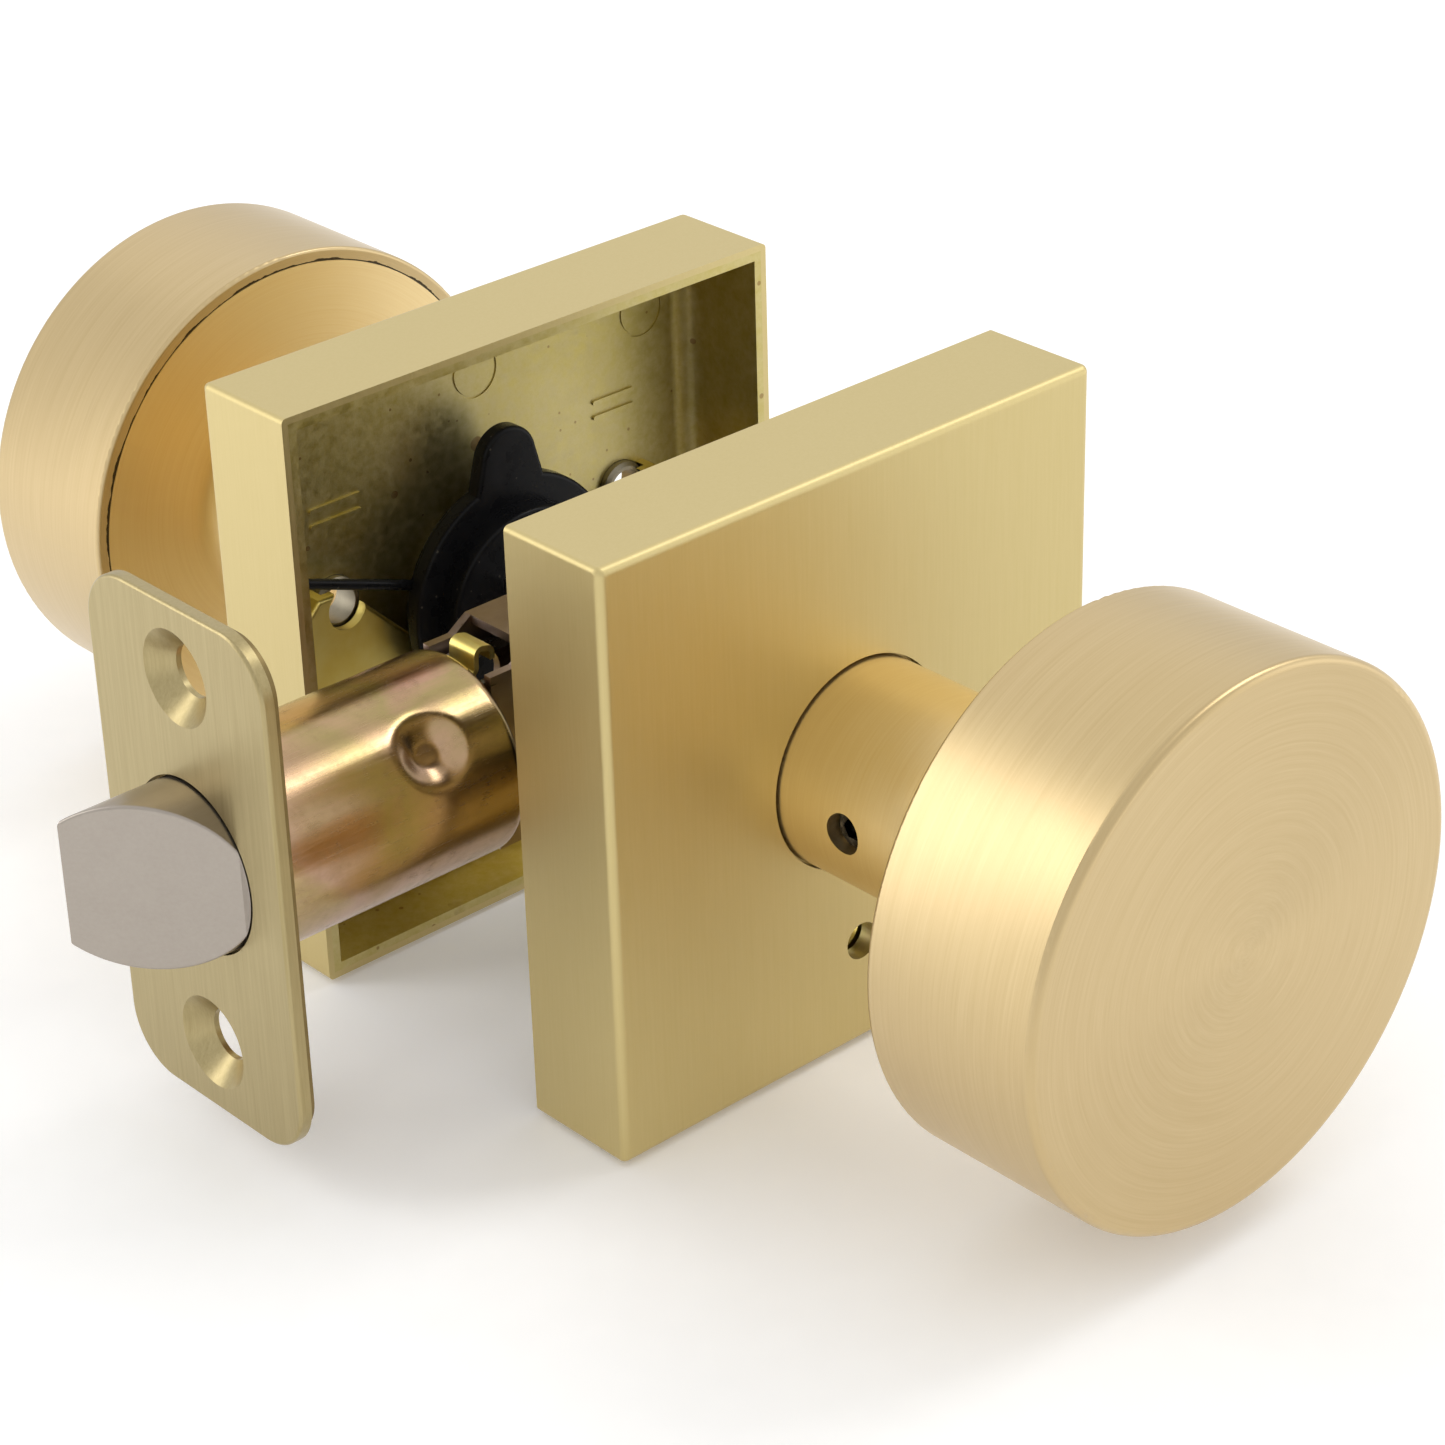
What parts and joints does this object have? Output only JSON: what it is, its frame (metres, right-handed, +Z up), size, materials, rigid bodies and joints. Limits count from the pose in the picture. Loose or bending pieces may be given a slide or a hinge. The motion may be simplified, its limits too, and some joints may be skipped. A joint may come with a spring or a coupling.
{
  "type": "door knob set",
  "caption": "Door knob set with drum knobs on square roses, sprung spindle drives and a tubular latch with a bevelled spring bolt.",
  "frame": {"origin": "on the spindle's axis, midway between the two faces of the door", "axes": "+Z up, +Y through the door along the spindle from the outside to the inside, -X towards the door's edge, where the bolt comes out"},
  "size_m": [0.1048, 0.1654, 0.0666],
  "materials": {
    "satin_brass": "satin, brushed round the turned pieces and upright on the faceplate",
    "cast_brass": "satin brass plate over a die casting, rough inside",
    "black_steel": "black, semi-gloss",
    "yellow_zinc": "yellow zinc plated sheet",
    "chromate_steel": "drawn steel, iridescent chromate",
    "zinc_steel": "bright zinc plated",
    "dark_steel": "black oxide",
    "spring_steel": "drawn wire",
    "nickel": "satin nickel plated"
  },
  "bodies": {
    "door_fittings": {"front_rose": "cast_brass", "back_rose": "cast_brass", "front_thrust_washer": "zinc_steel", "back_thrust_washer": "zinc_steel", "front_return_spring": "black_steel", "back_return_spring": "black_steel", "front_mounting_plate": "yellow_zinc", "back_mounting_plate": "yellow_zinc", "front_screw_collars": "zinc_steel", "back_screw_collars": "zinc_steel", "faceplate": "satin_brass", "fixed_plate": "zinc_steel", "latch_tube": "chromate_steel", "latch_case": "chromate_steel", "latch_case_cover": "chromate_steel", "case_clip": "yellow_zinc", "case_rivets": "zinc_steel", "bolt_spring": "spring_steel"},
    "front_knob": {"front_knob_shell": "satin_brass", "front_shank": "satin_brass", "front_set_screw": "dark_steel", "front_sleeve": "zinc_steel", "front_drive_cam": "black_steel", "spindle": "zinc_steel"},
    "back_knob": {"back_knob_shell": "satin_brass", "back_shank": "satin_brass", "back_set_screw": "dark_steel", "back_sleeve": "zinc_steel", "back_drive_cam": "black_steel"},
    "hub": {"latch_hub": "zinc_steel"},
    "bolt": {"latch_bolt": "nickel", "retractor": "zinc_steel"}
  },
  "joints": [
    {"name": "front_knob_turn", "type": "hinge", "parent": "door_fittings", "child": "front_knob", "pos_m": [0, 0, 0], "axis": [0, 1, 0], "range_deg": [0, 72], "stiffness_Nm_per_rad": 0.4, "springref_deg": -14.32},
    {"name": "back_knob_turn", "type": "hinge", "parent": "door_fittings", "child": "back_knob", "pos_m": [0, 0, 0], "axis": [0, 1, 0], "range_deg": [0, 72]},
    {"name": "hub_turn", "type": "hinge", "parent": "door_fittings", "child": "hub", "pos_m": [0, 0, 0], "axis": [0, 1, 0], "range_deg": [0, 72]},
    {"name": "bolt_slide", "type": "slide", "parent": "door_fittings", "child": "bolt", "axis": [1, 0, 0], "range_m": [0, 0.011], "deforming": ["bolt_spring"]}
  ],
  "couplings": [
    {"joint": "back_knob_turn", "follows": "front_knob_turn", "ratio": 1},
    {"joint": "hub_turn", "follows": "front_knob_turn", "ratio": 1},
    {"joint": "bolt_slide", "follows": "front_knob_turn", "m_per_rad": 0.0087001}
  ]
}
